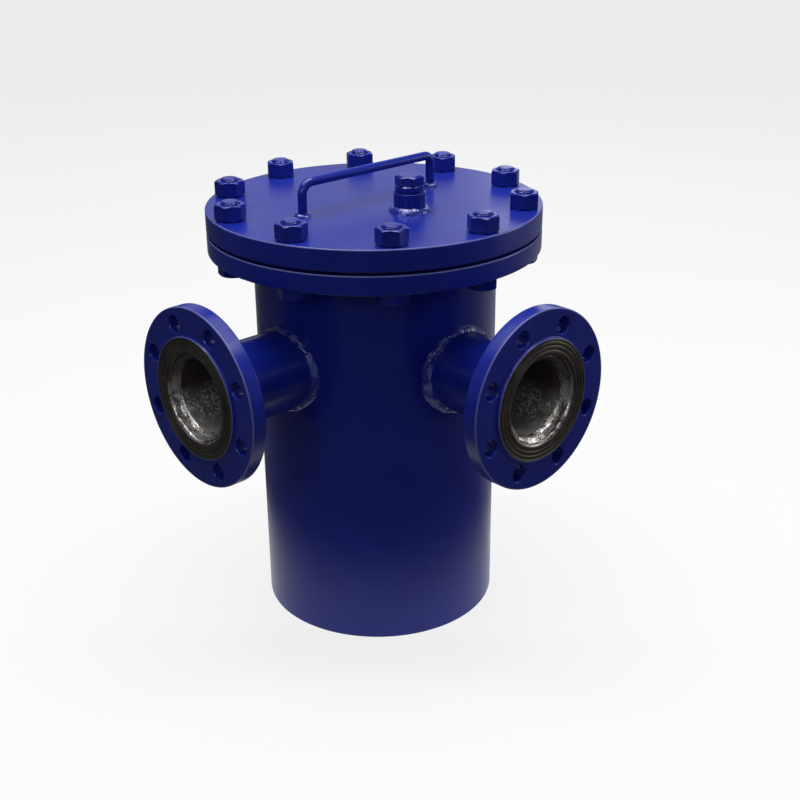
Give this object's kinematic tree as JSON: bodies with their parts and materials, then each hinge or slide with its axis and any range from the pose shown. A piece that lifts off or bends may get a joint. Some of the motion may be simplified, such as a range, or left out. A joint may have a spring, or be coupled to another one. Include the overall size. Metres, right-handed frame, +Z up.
{
  "type": "basket strainer",
  "caption": "Welded upright basket strainer with a bolted lift-off cover, a lift handle, a vent plug, and a flanged inlet and outlet at right angles.",
  "frame": {"origin": "centre of the flat base, on the body axis", "axes": "+Z up the body axis to the cover, +X out of the outlet nozzle, -Y out of the inlet nozzle"},
  "size_m": [0.441, 0.441, 0.5217],
  "materials": {
    "blue_enamel": "gloss ultramarine enamel, sprayed over welds and fasteners",
    "bare_steel": "unpainted steel, dark and oily",
    "stainless": "perforated and formed stainless sheet",
    "gasket_sheet": "dark compressed fibre sheet"
  },
  "bodies": {
    "strainer_body": {"body_shell": "blue_enamel", "bottom_plate": "blue_enamel", "body_flange": "blue_enamel", "gasket": "gasket_sheet", "nozzle_pipe_inlet": "blue_enamel", "nozzle_flange_inlet": "blue_enamel", "nozzle_weld_inlet": "blue_enamel", "nozzle_pipe_outlet": "blue_enamel", "nozzle_flange_outlet": "blue_enamel", "nozzle_weld_outlet": "blue_enamel", "basket_seat_ring": "bare_steel", "outlet_riser": "bare_steel", "cover_bolt_01": "blue_enamel", "cover_bolt_02": "blue_enamel", "cover_bolt_03": "blue_enamel", "cover_bolt_04": "blue_enamel", "cover_bolt_05": "blue_enamel", "cover_bolt_06": "blue_enamel", "cover_bolt_07": "blue_enamel", "cover_bolt_08": "blue_enamel", "cover_bolt_09": "blue_enamel", "cover_bolt_10": "blue_enamel"},
    "cover": {"cover_plate": "blue_enamel", "cover_handle": "blue_enamel", "handle_weld_front": "blue_enamel", "handle_weld_back": "blue_enamel", "vent_boss": "blue_enamel", "vent_boss_weld": "blue_enamel"},
    "cover_nuts": {"cover_nut_01": "blue_enamel", "cover_nut_02": "blue_enamel", "cover_nut_03": "blue_enamel", "cover_nut_04": "blue_enamel", "cover_nut_05": "blue_enamel", "cover_nut_06": "blue_enamel", "cover_nut_07": "blue_enamel", "cover_nut_08": "blue_enamel", "cover_nut_09": "blue_enamel", "cover_nut_10": "blue_enamel"},
    "vent_washer": {"vent_washer": "blue_enamel"},
    "vent_plug": {"vent_plug": "blue_enamel"},
    "basket": {"basket_screen": "stainless", "basket_floor": "stainless", "basket_rim": "stainless", "basket_lug_front": "stainless", "basket_lug_back": "stainless"},
    "basket_bail": {"basket_bail": "stainless"}
  },
  "joints": [
    {"name": "cover_lift", "type": "slide", "parent": "strainer_body", "child": "cover", "axis": [0, 0, 1], "range_m": [0, 0.5]},
    {"name": "nuts_run_up", "type": "slide", "parent": "cover", "child": "cover_nuts", "axis": [0, 0, 1], "range_m": [0, 0.03]},
    {"name": "vent_plug_rise", "type": "slide", "parent": "cover", "child": "vent_washer", "axis": [0, 0, 1], "range_m": [0, 0.02358]},
    {"name": "vent_plug_turn", "type": "hinge", "parent": "vent_washer", "child": "vent_plug", "pos_m": [0.057, 0, 0.51], "axis": [0, 0, 1], "range_deg": [0, 4680]},
    {"name": "basket_lift", "type": "slide", "parent": "strainer_body", "child": "basket", "axis": [0, 0, 1], "range_m": [0, 0.42]},
    {"name": "bail_swing", "type": "hinge", "parent": "basket", "child": "basket_bail", "pos_m": [-0.033, 0, 0.2736], "axis": [0, 1, 0], "range_deg": [0, 173]}
  ],
  "couplings": [
    {"joint": "vent_plug_turn", "follows": "vent_plug_rise", "rad_per_m": 3463.7},
    {"joint": "basket_lift", "follows": "cover_lift", "ratio": 0.84}
  ]
}
